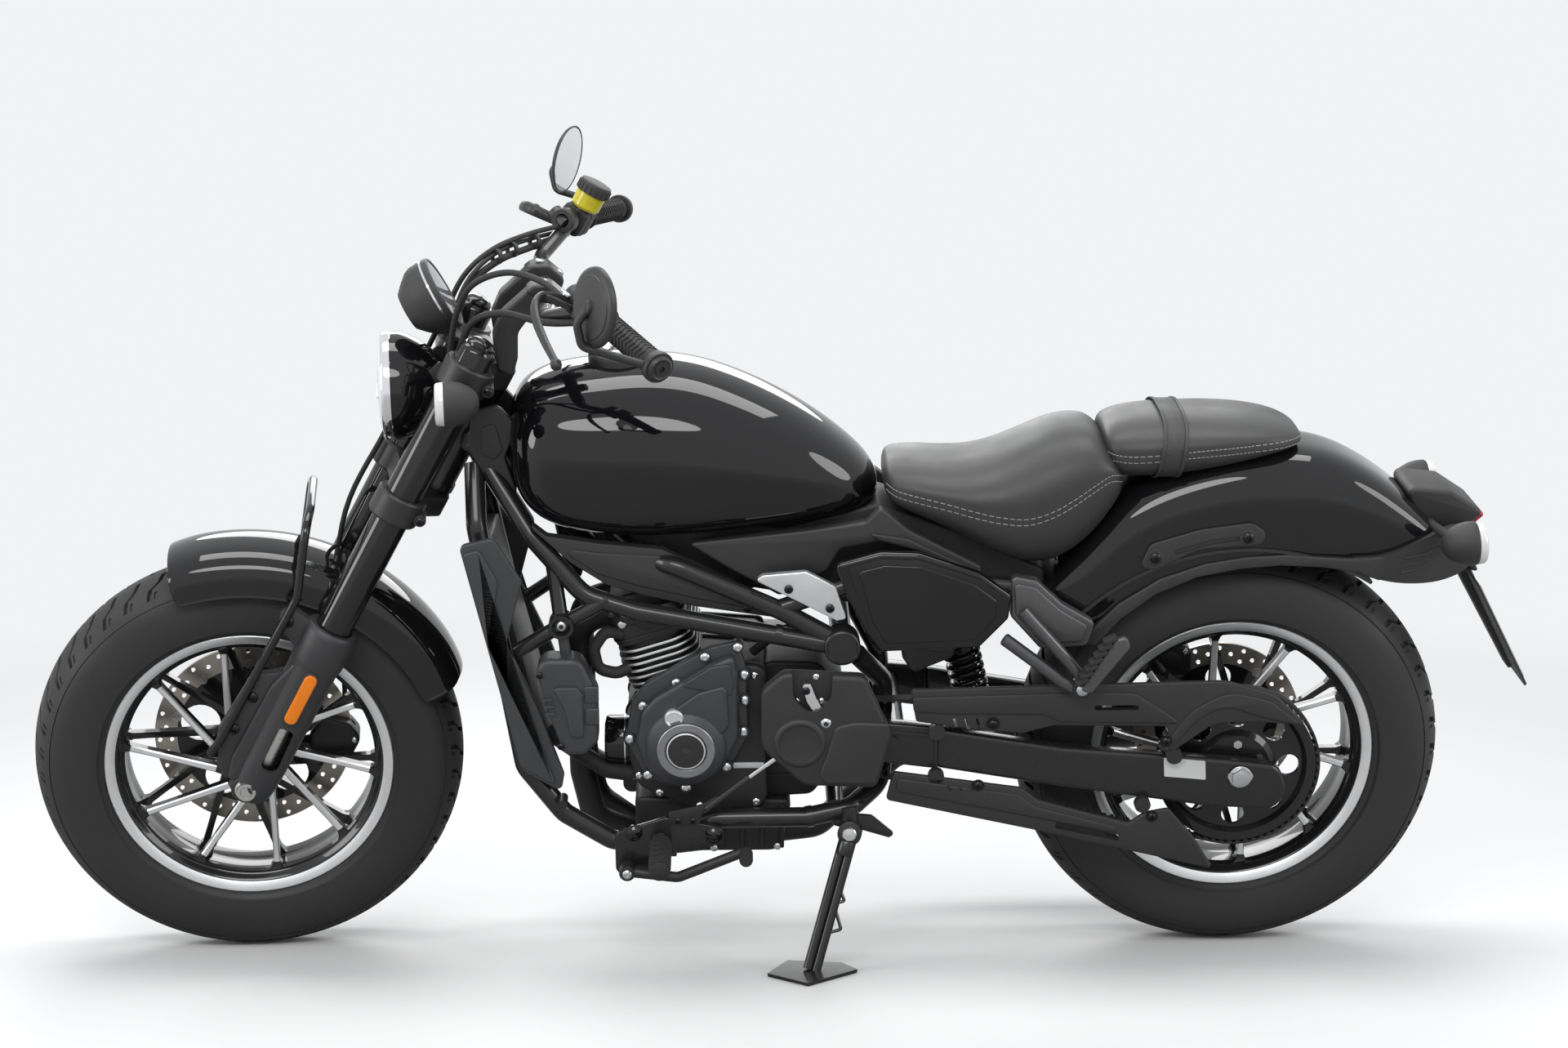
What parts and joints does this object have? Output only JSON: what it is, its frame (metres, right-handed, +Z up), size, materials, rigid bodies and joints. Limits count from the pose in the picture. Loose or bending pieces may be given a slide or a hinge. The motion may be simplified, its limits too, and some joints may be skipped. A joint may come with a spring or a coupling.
{
  "type": "cruiser motorcycle",
  "caption": "Mid-size cruiser motorcycle leaning on its side stand: steering, wheels, folding stand and fuel lid move; long low frame, open engine, belt drive",
  "frame": {"origin": "on the ground, under the middle of the parked bike's bounding box", "axes": "+X forward along the bike, +Y to the rider's left, +Z up"},
  "size_m": [2.2427, 0.8937, 1.2629],
  "materials": {
    "tyre": "matte rubber",
    "black_wheel": "gloss black over cast aluminium",
    "steel": "ground steel",
    "gloss_black": "gloss black paint",
    "satin_black": "satin black paint",
    "black_rubber": "moulded rubber",
    "black_plastic": "grained black plastic",
    "grey_alloy": "cast alloy, painted silver grey",
    "black_engine": "black wrinkle paint",
    "grey_cover": "dark grey paint",
    "tank_paint": "gloss black paint",
    "chrome": "bright chrome",
    "seat": "black vinyl with grey stitching",
    "red_lens": "red and clear lenses"
  },
  "bodies": {
    "steering": {"front_axle": "steel", "fork_tubes": "gloss_black", "fork_covers": "satin_black", "lower_clamp": "satin_black", "upper_clamp": "satin_black", "handlebar": "gloss_black", "bar_risers": "satin_black", "grips": "black_rubber", "bar_controls": "black_plastic", "hand_levers": "satin_black", "mirrors": "black_plastic", "headlight": "gloss_black", "instrument": "black_plastic", "front_signals": "black_plastic", "front_fender": "gloss_black", "fender_brace": "satin_black", "front_caliper": "satin_black"},
    "front_wheel": {"front_tyre": "tyre", "front_rim": "black_wheel", "front_disc": "steel"},
    "rear_wheel": {"rear_tyre": "tyre", "rear_rim": "black_wheel", "rear_disc": "steel", "rear_pulley": "black_wheel"},
    "side_stand": {"side_stand": "satin_black"},
    "fuel_cap": {"fuel_cap": "chrome"},
    "chassis": {"rear_axle": "steel", "frame_upper": "satin_black", "frame_cradle": "satin_black", "subframe_casting": "grey_alloy", "crankcase": "black_engine", "cylinders": "black_engine", "engine_covers": "grey_cover", "radiator": "black_engine", "radiator_shroud": "black_plastic", "canister_cover": "black_plastic", "exhaust": "satin_black", "fuel_tank": "tank_paint", "frame_panels": "black_plastic", "side_covers": "gloss_black", "seat_rider": "seat", "seat_passenger": "seat", "battery_box": "black_plastic", "rear_fender": "gloss_black", "fender_plates": "black_plastic", "tail_lamps": "red_lens", "plate_bracket": "black_plastic", "drive_belt": "black_rubber", "swingarm": "satin_black", "belt_guards": "black_plastic", "shock_absorber": "satin_black", "foot_levers": "chrome", "foot_pegs": "black_rubber", "peg_brackets": "grey_alloy", "rear_caliper": "satin_black"}
  },
  "joints": [
    {"name": "steering", "type": "hinge", "parent": "chassis", "child": "steering", "pos_m": [0.48403, -0.06108, 0.77116], "axis": [-0.4761, 0.1977, 0.8569], "range_deg": [-44.5, 31.5]},
    {"name": "front_wheel_spin", "type": "hinge", "parent": "steering", "child": "front_wheel", "pos_m": [0.80257, -0.16088, 0.3103], "axis": [-0.0998, 0.956, -0.276], "continuous": true},
    {"name": "rear_wheel_spin", "type": "hinge", "parent": "chassis", "child": "rear_wheel", "pos_m": [-0.6821, -0.16657, 0.31572], "axis": [-0.0003, 0.9744, -0.225], "continuous": true},
    {"name": "side_stand_pivot", "type": "hinge", "parent": "chassis", "child": "side_stand", "pos_m": [-0.10174, -0.03114, 0.20367], "axis": [0.104, 0.994, 0.0346], "range_deg": [0, 100]},
    {"name": "fuel_cap_hinge", "type": "hinge", "parent": "chassis", "child": "fuel_cap", "pos_m": [0.27317, -0.0255, 0.92554], "axis": [-0.0003, 0.9744, -0.225], "range_deg": [0, 95]}
  ]
}
